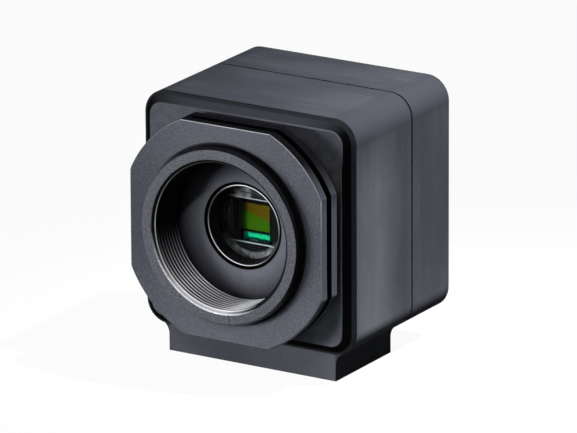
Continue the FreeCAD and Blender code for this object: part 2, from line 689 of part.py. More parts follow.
def screws(label, tip, seat, centres):
    """Four cap screws from tip to seat, with their heads behind the seat."""
    body = slab(label, tip, seat, *(("circle", each, S.screw_radius) for each in centres))
    heads = Profile(body, "heads", seat)
    keys = Profile(body, "keys", seat + S.head_height - S.head_socket_depth)
    for centre in centres:
        heads.circle(centre, S.head_radius)
        keys.hexagon(centre, S.head_socket)
    pad(heads, S.head_height, name="cap")
    pocket(keys, S.head_socket_depth, name="hexagon")
    return body


# ---------------------------------------------------------------- image sensor and boards

def sensor_package():
    body = slab("sensor_package", PACKAGE_FACE, SENSOR_BOARD_FACE,
                ("rectangle", (0, 0), S.package_width, S.package_height))
    cavity = Profile(body, "cavity", PACKAGE_FACE)
    centre, across, up = die_place()
    cavity.rectangle(centre, across + S.cavity_margin * 2, up + S.cavity_margin * 2)
    pocket(cavity, DIE_BACK - PACKAGE_FACE, name="die_cavity")
    return body


def die_place():
    """Centre, width and height of the silicon; the image area itself lies on the optical axis."""
    centre = (-S.dark_columns / 2, -S.circuit_height / 2)
    across = S.sensor_width + S.dark_columns + S.die_margin * 2
    up = S.sensor_height + S.circuit_height + S.die_margin * 2
    return centre, across, up


def glass_sides():
    return S.package_width - S.glass_inset * 2, S.package_height - S.glass_inset * 2


def dust_gasket():
    """Soft frame round the cover glass, pressed between the package and the cover's recess."""
    across, up = glass_sides()
    return slab("dust_gasket", LIP_BACK, PACKAGE_FACE,
                ("rectangle", (0, 0), S.package_width - S.dust_gap * 2, S.package_height - S.dust_gap * 2),
                ("rectangle", (0, 0), across + S.dust_gap * 2, up + S.dust_gap * 2))


def board(label, face):
    """Board with notched corners and four screw holes."""
    body = slab(label, face, face + S.board_thickness,
                ("cross", BOARD_HALF, COLUMN_HALF - S.board_clearance))
    holes(body, "screw_holes", face, S.board_thickness, corners(POST_SIDE, POST_RISE),
          S.screw_radius + S.screw_clearance)
    return body


def spacers(label, face):
    """Four hexagon spacers round the board screws."""
    centres = corners(POST_SIDE, POST_RISE)
    tubes = [("hexagon", each, S.spacer_corner) for each in centres]
    bores = [("circle", each, S.screw_radius + S.screw_clearance) for each in centres]
    return slab(label, face, face + S.board_gap, *tubes, *bores)


def board_link(label, face, up):
    """Mated pair of board connectors between two boards."""
    return slab(label, face, face + S.board_gap, ("rectangle", (0, up), S.link_width, S.link_height))


def board_parts():
    memory = [("rectangle", (side, S.memory_rise), S.memory_width, S.memory_height)
              for side in (-S.memory_side, S.memory_side)]
    return [
        board("sensor_board", SENSOR_BOARD_FACE),
        board("main_board", MAIN_BOARD_FACE),
        board("interface_board", SOCKET_BOARD_FACE),
        spacers("front_spacers", SENSOR_BOARD_BACK),
        spacers("rear_spacers", MAIN_BOARD_BACK),
        board_link("front_board_connector", SENSOR_BOARD_BACK, S.link_inset - BOARD_HALF),
        board_link("rear_board_connector", MAIN_BOARD_BACK, BOARD_HALF - S.link_inset),
        screws("board_screws", SENSOR_BOARD_FACE - S.screw_engagement, SOCKET_BOARD_BACK,
               corners(POST_SIDE, POST_RISE)),
        slab("processor", MAIN_BOARD_BACK, MAIN_BOARD_BACK + S.processor_thickness,
             ("rectangle", (0, 0), S.processor_width, S.processor_width)),
        slab("memory_chips", MAIN_BOARD_FACE - S.chip_thickness, MAIN_BOARD_FACE, *memory),
        slab("network_controller", SOCKET_BOARD_FACE - S.chip_thickness, SOCKET_BOARD_FACE,
             ("rectangle", (0, -S.controller_drop), S.controller_width, S.controller_width)),
        slab("network_magnetics", SOCKET_BOARD_BACK, SOCKET_BOARD_BACK + S.magnetics_thickness,
             ("rectangle", (S.magnetics_inset - BOARD_HALF,
                            S.magnetics_gap + S.magnetics_height / 2 - POST_RISE),
              S.magnetics_width, S.magnetics_height)),
        slab("power_inductor", SOCKET_BOARD_BACK, SOCKET_BOARD_BACK + S.inductor_height,
             ("rectangle", (BOARD_HALF - S.inductor_inset, S.inductor_rise),
              S.inductor_width, S.inductor_width)),
    ]


# ---------------------------------------------------------------- rear sockets

def plug_opening(profile):
    """Modular plug opening with its two-step latch slot underneath."""
    across, latch, key = S.socket_width / 2, S.latch_width / 2, S.latch_key_width / 2
    top = JACK_CENTRE + S.socket_rise + S.socket_height / 2
    floor = top - S.socket_height
    step = floor - S.latch_height
    bottom = step - S.latch_key_height
    profile.outline([(-across, floor), (-latch, floor), (-latch, step), (-key, step), (-key, bottom),
                     (key, bottom), (key, step), (latch, step), (latch, floor), (across, floor),
                     (across, top), (-across, top)])


def network_jack():
    body = slab("network_jack", SOCKET_BOARD_BACK, JACK_FACE,
                ("rectangle", (0, JACK_CENTRE), S.jack_width, S.jack_height))
    opening = Profile(body, "opening", JACK_FACE)
    plug_opening(opening)
    pocket(opening, S.socket_depth, forwards=True, name="plug_socket")
    return body


def jack_shield():
    """Folded sheet round the jack's four sides."""
    extra = S.shield_thickness * 2
    return slab("network_jack_shield", SOCKET_BOARD_BACK, JACK_FACE,
                ("rectangle", (0, JACK_CENTRE), S.jack_width + extra, S.jack_height + extra),
                ("rectangle", (0, JACK_CENTRE), S.jack_width, S.jack_height))


def jack_contacts():
    """Eight sprung wires that slope down from the roof of the plug opening, seen from the side."""
    body = new_body("network_jack_contacts")
    back = JACK_FACE - S.socket_depth
    front = back + S.contact_run
    top = JACK_CENTRE + S.socket_rise + S.socket_height / 2
    low = top - S.contact_drop
    wire = Profile(body, "wire", S.contact_pitch * -3.5 - S.contact_width / 2, "YZ_Plane")
    wire.outline([(back, low), (back + S.contact_thickness, low),
                  (front, top - S.contact_thickness), (front, top), (front - S.contact_thickness, top)])
    first = feature(wire, "Pad", "spring")
    bind(first, "Length", S.contact_width)
    doc.recompute()
    row = body.newObject("PartDesign::LinearPattern", "network_jack_contacts_row")
    row.Originals = [first]
    row.Direction = (wire.sketch, ["N_Axis"])
    row.Mode = "Spacing"
    bind(row, "Offset", S.contact_pitch)
    row.Occurrences = 8
    body.Tip = row
    return body


def io_centre():
    return (-S.io_side, S.io_rise)


def pin_centres():
    """Eight contacts on the outer circle and four on the inner one."""
    centres = []
    for count, circle in ((8, S.io_outer_circle), (4, S.io_inner_circle)):
        for number in range(count):
            angle = 2 * math.pi * (number + 0.5) / count
            centres.append((circle * math.cos(angle) - S.io_side, circle * math.sin(angle) + S.io_rise))
    return centres


def io_connector():
    barrel = slab("io_connector_shell", REAR_FACE - S.io_length, REAR_FACE, ("circle", io_centre(), S.io_barrel))
    flange = Profile(barrel, "flange", REAR_FACE)
    flange.circle(io_centre(), S.io_barrel + S.io_rim)
    pad(flange, S.io_flange_height, name="rim")
    holes(barrel, "bore", REAR_FACE - S.io_length, S.io_length + S.io_flange_height, [io_centre()], IO_BORE)

    base = REAR_FACE - S.io_length
    shoulder = ISLAND_FACE - S.io_channel
    insert = slab("io_connector_insert", base, shoulder, ("circle", io_centre(), IO_BORE - S.fit_gap))
    island = Profile(insert, "island", shoulder)
    island.circle(io_centre(), IO_BORE - S.io_channel_width)
    pad(island, S.io_channel, name="island_block")
    holes(insert, "contact_holes", ISLAND_FACE, S.io_hole_depth, pin_centres(), S.io_hole_radius,
          forwards=True)

    pins = slab("io_connector_pins", SOCKET_BOARD_BACK, base,
                *(("rectangle", each, S.io_pin_width, S.io_pin_width) for each in pin_centres()))
    nut = slab("io_connector_nut", REAR_WALL_FACE - S.io_nut_height, REAR_WALL_FACE,
               ("hexagon", io_centre(), S.io_barrel + S.io_nut_rim),
               ("circle", io_centre(), S.io_barrel + S.thread_clearance))
    return [barrel, insert, pins, nut]


def light_centres():
    return [(S.light_left, S.light_rise), (S.light_left + S.light_pitch, S.light_rise)]


def indicator_parts():
    lamps = [("rectangle", each, S.lamp_width, S.lamp_width) for each in light_centres()]
    pipes = [("circle", each, S.light_radius) for each in light_centres()]
    lamp_top = SOCKET_BOARD_BACK + S.lamp_height
    return [slab("status_lamps", SOCKET_BOARD_BACK, lamp_top, *lamps),
            slab("light_pipes", lamp_top + S.fit_gap, REAR_FACE, *pipes)]


# ---------------------------------------------------------------- assembly

def build():
    across, up = glass_sides()
    return [
        front_cover(),
        mount_ring(),
        lock_screws(),
        filter_retainer(),
        slab("filter_glass", FILTER_FACE, MASK_FACE, ("circle", (0, 0), FILTER_RADIUS)),
        aperture_mask(),
        gasket("front_seal", COVER_BACK, S.seal_thickness),
        front_housing(),
        gasket("rear_seal", S.front_depth, S.seam_thickness),
        rear_housing(),
        screws("tie_screws", COVER_FACE + S.tie_tip, REAR_FACE - S.head_height - S.head_clearance,
               corners(TIE_POSITION)),
        slab("sensor_glass", PACKAGE_FACE - S.sensor_glass, PACKAGE_FACE, ("rectangle", (0, 0), across, up)),
        slab("sensor_die", DIE_FACE, DIE_BACK, ("rectangle", *die_place())),
        sensor_package(),
        dust_gasket(),
        *board_parts(),
        network_jack(),
        jack_shield(),
        jack_contacts(),
        *io_connector(),
        *indicator_parts(),
    ]


def check(parts):
    doc.recompute()
    for item in doc.Objects:
        if "Invalid" in item.State or "Error" in item.State:
            raise ValueError(f"{item.Label} failed: {item.State}")
    for part in parts:
        if part.Shape.isNull() or not part.Shape.isValid() or not part.Shape.Solids:
            raise ValueError(f"{part.Label} has no sound shape")


def export(parts):
    os.makedirs("parts", exist_ok=True)
    for part in parts:
        part.Shape.exportStep(f"parts/{part.Label}.step")
        print(part.Label, len(part.Shape.Solids), round(part.Shape.Volume, 2))


all_parts = build()
check(all_parts)
export(all_parts)
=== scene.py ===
import math

import bmesh
import bpy
from mathutils import Matrix, Vector


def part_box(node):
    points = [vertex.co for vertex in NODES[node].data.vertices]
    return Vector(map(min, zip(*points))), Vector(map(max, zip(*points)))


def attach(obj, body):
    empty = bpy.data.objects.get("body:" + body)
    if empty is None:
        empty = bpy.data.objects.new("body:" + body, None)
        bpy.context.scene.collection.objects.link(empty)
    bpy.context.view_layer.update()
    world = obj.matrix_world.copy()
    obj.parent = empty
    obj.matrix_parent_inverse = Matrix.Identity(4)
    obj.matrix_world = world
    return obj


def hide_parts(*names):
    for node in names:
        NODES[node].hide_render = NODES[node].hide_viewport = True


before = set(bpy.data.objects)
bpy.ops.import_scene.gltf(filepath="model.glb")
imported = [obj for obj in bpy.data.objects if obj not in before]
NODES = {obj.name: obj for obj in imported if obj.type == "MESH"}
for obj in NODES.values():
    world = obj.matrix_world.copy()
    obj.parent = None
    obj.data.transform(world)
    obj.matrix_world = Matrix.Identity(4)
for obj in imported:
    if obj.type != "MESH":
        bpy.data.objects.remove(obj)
bpy.context.scene.view_settings.view_transform = "Standard"
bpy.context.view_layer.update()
MM = 0.001

# Places read from the frame, in metres.
RING_LOW, RING_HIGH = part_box("mount_ring")
AXIS_HEIGHT = (RING_LOW.z + RING_HIGH.z) / 2
RING_FACE = RING_LOW.y
RING_BACK = RING_HIGH.y
RING_RADIUS = (RING_HIGH.x - RING_LOW.x) / 2
SHELL_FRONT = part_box("front_housing")[0].y
HOUSING_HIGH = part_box("rear_housing")[1]
FLANGE_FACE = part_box("front_cover")[0].y
RETAINER_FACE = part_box("filter_retainer")[0].y
MASK_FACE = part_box("aperture_mask")[0].y

# Places on the pieces that a box can't give. Radii are from the optical axis.
FOOT_HALF = 15.95 * MM
FOOT_TOP = 4.7 * MM
MOUNT_RADIUS = 15.5 * MM  # within it lie the mount's floor and bore, outside it the flange and the plate
FLANGE_RADIUS = 20.0 * MM
FLANGE_FLAT = 18.1 * MM
FILTER_BORE = 7.25 * MM
GROOVES = ((1.72 * MM, 3.17 * MM), (4.83 * MM, 6.12 * MM))  # depths behind the flange's face
RING_CHAMFER = 0.38 * MM
MASK_HALF_HEIGHT = 3.70 * MM
INDEX_ANGLE = math.radians(7.8)
IMAGE_LEFT, IMAGE_RIGHT, IMAGE_HALF_HEIGHT = -2.98 * MM, 1.92 * MM, 2.22 * MM

# Lens thread: 1 inch by 32 threads an inch.
THREAD_RADIUS = 12.3 * MM
THREAD_DEPTH = 0.42 * MM
THREAD_PITCH = 25.4 * MM / 32
MOUTH_FLARE = 0.66 * MM
MOUTH_DEPTH = 0.69 * MM

# Linear colours.
ANODISED = (0.042, 0.045, 0.055)
ANODISED_LIGHT = (0.100, 0.106, 0.125)
BLACK = (0.004, 0.004, 0.005)


# ---------------------------------------------------------------- material graphs

class Graph:
    """A material with a Principled shader and short calls for the nodes that feed it."""

    def __init__(self, name, colour, roughness, metallic=0.0, **sockets):
        self.material = bpy.data.materials.new(name)
        self.material.use_nodes = True
        self.tree = self.material.node_tree
        self.shader = self.tree.nodes["Principled BSDF"]
        self.set("Base Color", (*colour, 1.0))
        self.set("Roughness", roughness)
        self.set("Metallic", metallic)
        for label, value in sockets.items():
            self.set(label.replace("_", " "), value)
        self.place = self.tree.nodes.new("ShaderNodeTexCoord").outputs["Object"]

    def set(self, label, value):
        self.feed(self.shader.inputs[label], value)

    def feed(self, socket, value):
        if isinstance(value, bpy.types.NodeSocket):
            self.tree.links.new(value, socket)
        else:
            socket.default_value = value

    def math(self, operation, first, second=0.0, clamp=False):
        node = self.tree.nodes.new("ShaderNodeMath")
        node.operation = operation
        node.use_clamp = clamp
        self.feed(node.inputs[0], first)
        self.feed(node.inputs[1], second)
        return node.outputs[0]

    def axes(self, vector=None):
        node = self.tree.nodes.new("ShaderNodeSeparateXYZ")
        self.feed(node.inputs[0], vector or self.place)
        return node.outputs

    def scaled(self, x, y, z, vector=None):
        node = self.tree.nodes.new("ShaderNodeMapping")
        node.inputs["Scale"].default_value = (x, y, z)
        self.feed(node.inputs["Vector"], vector or self.place)
        return node.outputs[0]

    def joined(self, x, y, z):
        node = self.tree.nodes.new("ShaderNodeCombineXYZ")
        for socket, value in zip(node.inputs, (x, y, z)):
            self.feed(socket, value)
        return node.outputs[0]

    def noise(self, vector, scale, detail=2.0, roughness=0.5):
        node = self.tree.nodes.new("ShaderNodeTexNoise")
        self.feed(node.inputs["Vector"], vector)
        node.inputs["Scale"].default_value = scale
        node.inputs["Detail"].default_value = detail
        node.inputs["Roughness"].default_value = roughness
        return node.outputs["Fac"]

    def spread(self, value, low, high, to_low=0.0, to_high=1.0):
        node = self.tree.nodes.new("ShaderNodeMapRange")
        for index, item in enumerate((value, low, high, to_low, to_high)):
            self.feed(node.inputs[index], item)
        return node.outputs[0]

    def inside(self, value, low, high, soft):
        """1 between low and high, falling to 0 over soft on both sides."""
        rise = self.spread(value, low - soft, low)
        fall = self.spread(value, high, high + soft, 1.0, 0.0)
        return self.math("MULTIPLY", rise, fall)

    def both(self, *masks):
        result = masks[0]
        for mask in masks[1:]:
            result = self.math("MULTIPLY", result, mask)
        return result

    def mix(self, share, first, second):
        node = self.tree.nodes.new("ShaderNodeMix")
        node.data_type = "RGBA"
        self.feed(node.inputs["Factor"], share)
        self.feed(node.inputs["A"], (*first, 1.0) if isinstance(first, tuple) else first)
        self.feed(node.inputs["B"], (*second, 1.0) if isinstance(second, tuple) else second)
        return node.outputs["Result"]

    def bump(self, height, distance, strength=1.0):
        node = self.tree.nodes.new("ShaderNodeBump")
        node.inputs["Strength"].default_value = strength
        node.inputs["Distance"].default_value = distance
        self.feed(node.inputs["Height"], height)
        self.set("Normal", node.outputs[0])

    def around(self, fine, along):
        """Coordinates for marks that run round the optical axis: fine across them, slow along them."""
        x, _, z = self.axes()
        up = self.math("SUBTRACT", z, AXIS_HEIGHT)
        radius = self.radius()
        east = self.math("MULTIPLY", self.math("DIVIDE", x, radius), along)
        north = self.math("MULTIPLY", self.math("DIVIDE", up, radius), along)
        return self.joined(east, self.math("MULTIPLY", radius, fine), north)

    def radius(self):
        """Distance from the optical axis."""
        x, _, z = self.axes()
        up = self.math("SUBTRACT", z, AXIS_HEIGHT)
        square = self.math("ADD", self.math("MULTIPLY", x, x), self.math("MULTIPLY", up, up))
        return self.math("SQRT", square)


def housing_finish():
    """Black anodised extrusion: faint drawing lines, grain and mottling, lighter on the foot; a painted
    highlight band on the sides, and painted shade on the upper rounded edges, the foot's sides and along the
    front joint.
    """
    graph = Graph("anodised_housing", ANODISED, 0.40, Specular_IOR_Level=0.0)
    x, y, z = graph.axes()
    lines = graph.noise(graph.scaled(24, 1500, 24), 1.0, 3.0, 0.65)
    grain = graph.noise(graph.place, 4200, 1.0, 0.5)
    cloud = graph.noise(graph.scaled(60, 130, 60), 1.0, 2.0)
    tone = graph.math("ADD", graph.math("MULTIPLY", lines, 0.17), graph.math("MULTIPLY", grain, 0.12))
    tone = graph.math("ADD", tone, graph.spread(z, FOOT_TOP + 0.3 * MM, FOOT_TOP - 0.7 * MM, 0.065, 0.13))
    side = graph.math("ABSOLUTE", x)
    # painted highlight: a broad lighter band down the sides over the front shell
    band = graph.both(graph.inside(y, SHELL_FRONT + 3.0 * MM, SHELL_FRONT + 7.0 * MM, 8 * MM),
                      graph.spread(side, HOUSING_HIGH.x - 0.4 * MM, HOUSING_HIGH.x, 0.0, 0.8),
                      graph.spread(z, HOUSING_HIGH.z - 4 * MM, HOUSING_HIGH.z - 13 * MM))
    tone = graph.math("ADD", tone, graph.math("MULTIPLY", graph.math("ADD", cloud, band), 0.29))
    # painted shade: darker along the upper rounded edges between the top and the sides
    outermost = HOUSING_HIGH.x + HOUSING_HIGH.z
    corner = graph.spread(graph.math("ADD", side, z), outermost - 5 * MM, outermost - 2.4 * MM)
    tone = graph.math("SUBTRACT", tone, graph.math("MULTIPLY", corner, 0.12))
    colour = graph.mix(graph.spread(tone, 0.32, 0.68), ANODISED, (0.108, 0.112, 0.130))
    # painted shade: the foot's sides dark under the body's overhang
    painted_foot_shade = graph.both(graph.spread(z, FOOT_TOP + 0.2 * MM, FOOT_TOP - 0.4 * MM, 0.0, 0.6),
                           graph.spread(side, FOOT_HALF - 0.15 * MM, FOOT_HALF - 0.07 * MM))
    colour = graph.mix(painted_foot_shade, colour, (0.010, 0.011, 0.013))
    # painted shade: a dark line along the front joint with the cover
    painted_joint_shade = graph.both(graph.spread(y, SHELL_FRONT + 0.12 * MM, SHELL_FRONT + 0.04 * MM),
                       graph.spread(z, FOOT_TOP + 1.3 * MM, FOOT_TOP + 2.3 * MM))
    graph.set("Base Color", graph.mix(painted_joint_shade, colour, (0.018, 0.019, 0.022)))
    graph.set("Roughness", graph.spread(tone, 0.3, 0.7, 0.38, 0.50))
    height = graph.math("ADD", graph.math("MULTIPLY", lines, 0.5), grain)
    graph.bump(height, 0.004 * MM, 0.6)
    return graph.material


def cover_finish():
    """The same anodising on the cover: flange face with lathe marks and a painted sheen; painted shade on the
    bevel, the grooves, the flange's upper rims and rear disc, the edge of the mount floor and the filter
    bore; painted highlights on the plate's top edge and the flange's front edges.
    """
    graph = Graph("anodised_cover", ANODISED, 0.40, Specular_IOR_Level=0.0)
    radius = graph.radius()
    x, y, z = graph.axes()
    rings = graph.noise(graph.around(6400, 40.0), 1.0, 1.0, 0.5)
    speckle = graph.noise(graph.place, 6200, 1.0, 0.5)
    flange = graph.spread(y, SHELL_FRONT - 2.2 * MM, SHELL_FRONT - 2.6 * MM)
    face = graph.spread(y, FLANGE_FACE + 0.12 * MM, FLANGE_FACE + 0.04 * MM)
    worked = graph.math("ADD", graph.math("MULTIPLY", rings, 0.5), graph.math("MULTIPLY", speckle, 0.5))
    plain = graph.noise(graph.place, 700, 2.0)
    # painted sheen: the face lighter at top and bottom and towards the right
    painted_sheen = graph.math("DIVIDE", graph.math("SUBTRACT", z, AXIS_HEIGHT), graph.math("MAXIMUM", radius, 1 * MM))
    painted_sheen = graph.math("SUBTRACT", graph.math("MULTIPLY", painted_sheen, painted_sheen), 0.5)
    painted_sheen = graph.math("ADD", painted_sheen, graph.spread(x, 9 * MM, 17 * MM, 0.0, 0.5))
    turned_marks_and_sheen = graph.math("ADD", graph.spread(worked, 0.36, 0.66), graph.math("MULTIPLY", painted_sheen, 0.75))
    turned_marks_and_sheen = graph.math("ADD", graph.math("MULTIPLY", face, turned_marks_and_sheen),
                        graph.math("MULTIPLY", graph.math("SUBTRACT", 1.0, face), 0.35))
    share = graph.math("MULTIPLY", flange, turned_marks_and_sheen)
    quiet = graph.math("MULTIPLY", graph.math("SUBTRACT", 1.0, flange), graph.math("MULTIPLY", plain, 0.75))
    tone = graph.math("ADD", share, quiet)
    colour = graph.mix(tone, ANODISED, ANODISED_LIGHT)
    bevel = graph.spread(y, SHELL_FRONT - 1.72 * MM, SHELL_FRONT - 1.66 * MM)
    bevel = graph.both(bevel, graph.spread(radius, MOUNT_RADIUS, MOUNT_RADIUS + 0.5 * MM))
    side = graph.math("ABSOLUTE", x)
    # painted shade: the bevel dark, lighter towards the top and near black on the sides and at the bottom
    outward = graph.math("SUBTRACT", side, graph.math("SUBTRACT", z, AXIS_HEIGHT))
    painted_bevel_shade = graph.spread(outward, -9 * MM, 0.5 * MM)
    painted_bevel_shade = graph.math("POWER", painted_bevel_shade, 1.6)
    dark = graph.mix(painted_bevel_shade, (0.026, 0.028, 0.033), (0.002, 0.002, 0.002))
    colour = graph.mix(bevel, colour, dark)
    # painted highlight: a bright line along the plate's top edge, brighter towards the right
    plate_top = graph.spread(z, AXIS_HEIGHT + 12 * MM, AXIS_HEIGHT + 15 * MM)
    painted_lip_highlight = graph.both(bevel, plate_top, graph.spread(y, SHELL_FRONT - 1.56 * MM, SHELL_FRONT - 1.62 * MM),
                     graph.spread(x, -16 * MM, 14 * MM, 0.15, 0.9))
    colour = graph.mix(painted_lip_highlight, colour, (0.085, 0.090, 0.105))
    # painted shade: a dark line on the bevel along the housing's front joint
    painted_joint_shade = graph.both(bevel, graph.spread(y, SHELL_FRONT - 0.80 * MM, SHELL_FRONT - 0.74 * MM))
    colour = graph.mix(painted_joint_shade, colour, (0.015, 0.016, 0.019))
    floor = graph.mix(plain, (0.094, 0.099, 0.119), (0.128, 0.134, 0.159))
    # painted shade: the mount floor darkens towards the bore wall
    floor = graph.mix(graph.spread(radius, 8.0 * MM, 12.4 * MM), floor, (0.010, 0.010, 0.012))
    colour = graph.mix(graph.spread(radius, MOUNT_RADIUS, MOUNT_RADIUS - 0.3 * MM), colour, floor)
    # painted shade: near black inside the filter bore round the retainer
    bore = graph.spread(radius, FILTER_BORE + 0.17 * MM, FILTER_BORE + 0.09 * MM)
    colour = graph.mix(bore, colour, (0.002, 0.002, 0.002))
    up = graph.math("ABSOLUTE", graph.math("SUBTRACT", z, AXIS_HEIGHT))
    rim = graph.math("MAXIMUM", graph.spread(radius, FLANGE_RADIUS - 0.14 * MM, FLANGE_RADIUS - 0.05 * MM),
                     graph.spread(up, FLANGE_FLAT - 0.13 * MM, FLANGE_FLAT - 0.04 * MM))
    rim = graph.math("MAXIMUM", rim, graph.spread(side, FLANGE_FLAT - 0.13 * MM, FLANGE_FLAT - 0.04 * MM))
    # painted shade: the rear disc darkened and the flange's rims black in the upper part
    flange_top = graph.spread(z, AXIS_HEIGHT + 6 * MM, AXIS_HEIGHT + 14 * MM)
    back = graph.both(graph.spread(y, FLANGE_FACE + 3.0 * MM, FLANGE_FACE + 3.1 * MM), flange_top)
    colour = graph.mix(graph.both(back, flange), colour, (0.012, 0.012, 0.015))
    colour = graph.mix(graph.both(rim, flange_top, flange), colour, BLACK)
    outside = graph.spread(radius, MOUNT_RADIUS, MOUNT_RADIUS + 0.1 * MM)
    # painted shade: the grooves between and behind the flange's discs near black
    for front, rear in GROOVES:
        groove = graph.inside(y, FLANGE_FACE + front, FLANGE_FACE + rear, 0.03 * MM)
        colour = graph.mix(graph.both(groove, outside), colour, (0.003, 0.003, 0.003))
    # painted highlight: bright lines on the flange's front edges, strongest at the top
    edge = graph.both(rim, graph.spread(y, FLANGE_FACE + 0.17 * MM, FLANGE_FACE + 0.10 * MM))
    high = graph.spread(z, AXIS_HEIGHT + 2 * MM, AXIS_HEIGHT + 13 * MM, 0.12, 1.0)
    colour = graph.mix(graph.both(edge, high), colour, (0.42, 0.43, 0.46))
    graph.set("Base Color", colour)
    graph.set("Roughness", graph.spread(tone, 0.0, 1.0, 0.36, 0.50))
    graph.bump(graph.math("MULTIPLY", graph.math("ADD", rings, speckle), face), 0.005 * MM, 0.7)
    return graph.material


def ring_finish():
    """Bead-blasted ring with an index line; painted shade on the chamfer's upper right, the outer wall and
    the bore, and painted highlights on the lead-in lines, mouth and thread crests at the lower left.
    """
    graph = Graph("anodised_ring", ANODISED_LIGHT, 0.42, Specular_IOR_Level=0.01)
    x, y, z = graph.axes()
    radius = graph.radius()
    speckle = graph.noise(graph.place, 6400, 1.0, 0.5)
    rings = graph.noise(graph.around(6600, 40.0), 1.0, 1.0)
    tone = graph.math("ADD", graph.math("MULTIPLY", speckle, 0.75), graph.math("MULTIPLY", rings, 0.25))
    # painted sheen: slightly lighter towards the top
    painted_sheen = graph.math("DIVIDE", graph.math("SUBTRACT", z, AXIS_HEIGHT), graph.math("MAXIMUM", radius, 1 * MM))
    tone = graph.math("ADD", tone, graph.math("MULTIPLY", painted_sheen, 0.02))
    colour = graph.mix(graph.spread(tone, 0.40, 0.62), (0.048, 0.051, 0.060), (0.122, 0.128, 0.146))
    depth = graph.math("SUBTRACT", y, RING_FACE)
    outer = graph.spread(y, RING_FACE + 0.03 * MM, RING_FACE + 0.07 * MM)
    face_radius = RING_RADIUS - RING_CHAMFER
    outer = graph.both(outer, graph.spread(radius, face_radius - 0.06 * MM, face_radius))
    # painted shade: the chamfer black at the upper right
    shade = graph.mix(graph.spread(graph.math("ADD", x, z), AXIS_HEIGHT - 12 * MM, AXIS_HEIGHT + 6 * MM),
                      (0.070, 0.074, 0.085), BLACK)
    colour = graph.mix(outer, colour, shade)
    # painted shade: the outer wall and everything behind the chamfer black
    colour = graph.mix(graph.spread(y, RING_FACE + 0.60 * MM, RING_FACE + 0.70 * MM), colour, BLACK)
    mouth = THREAD_RADIUS + MOUTH_FLARE
    bore = graph.spread(radius, mouth - 0.02 * MM, mouth - 0.06 * MM)
    bore = graph.both(bore, graph.spread(depth, 0.03 * MM, 0.06 * MM))
    crest = graph.both(bore, graph.spread(radius, THREAD_RADIUS + 0.16 * MM, THREAD_RADIUS + 0.05 * MM))
    # random breaks in the painted highlight lines
    highlight_breaks = graph.noise(graph.around(5200, 60.0), 1.0, 1.0)
    highlight_breaks = graph.spread(highlight_breaks, 0.40, 0.58, 0.6, 1.0)
    left = graph.spread(x, 7 * MM, 1 * MM)
    low = graph.spread(z, AXIS_HEIGHT + 2 * MM, AXIS_HEIGHT - 9.5 * MM)
    low = graph.both(low, low, left)
    # painted shade: the bore black
    colour = graph.mix(bore, colour, BLACK)
    # painted highlights at the lower left: bright thread crests, mouth chamfer and lead-in lines
    colour = graph.mix(graph.both(bore, crest, low, graph.spread(z, AXIS_HEIGHT, AXIS_HEIGHT - 8 * MM)),
                       colour, (0.74, 0.76, 0.79))
    flare = graph.both(bore, graph.spread(depth, 0.62 * MM, 0.58 * MM))
    colour = graph.mix(graph.both(flare, low, low), colour, (0.40, 0.41, 0.43))
    outer_line = graph.inside(radius, THREAD_RADIUS + 0.56 * MM, THREAD_RADIUS + 0.72 * MM, 0.03 * MM)
    outer_line = graph.both(outer_line, graph.spread(depth, 0.3 * MM, 0.2 * MM), left, highlight_breaks,
                            graph.spread(z, AXIS_HEIGHT - 1 * MM, AXIS_HEIGHT - 7 * MM))
    rise = graph.spread(z, AXIS_HEIGHT + 13 * MM, AXIS_HEIGHT - 7 * MM, 0.04, 1.0)
    inner_line = graph.both(graph.inside(depth, 0.49 * MM, 0.59 * MM, 0.03 * MM), rise, left, bore)
    lines = graph.math("MAXIMUM", outer_line, inner_line)
    colour = graph.mix(lines, colour, (0.86, 0.87, 0.90))
    colour = graph.mix(graph.inside(depth, 0.66 * MM, 0.80 * MM, 0.03 * MM), colour, (0.003, 0.003, 0.004))
    drop = graph.math("SUBTRACT", AXIS_HEIGHT, z)
    aside = graph.math("SUBTRACT", x, graph.math("MULTIPLY", drop, math.tan(INDEX_ANGLE)))
    line = graph.both(graph.spread(drop, 12.2 * MM, 12.4 * MM),
                      graph.inside(aside, -0.07 * MM, 0.07 * MM, 0.05 * MM),
                      graph.spread(y, RING_FACE + 0.05 * MM, RING_FACE + 0.02 * MM))
    graph.set("Base Color", graph.mix(graph.math("MULTIPLY", line, 0.75), colour, (0.015, 0.016, 0.019)))
    graph.set("Roughness", graph.spread(tone, 0.3, 0.7, 0.36, 0.52))
    height = graph.math("SUBTRACT", speckle, graph.math("MULTIPLY", line, 6.0))
    graph.bump(height, 0.006 * MM, 0.7)
    return graph.material


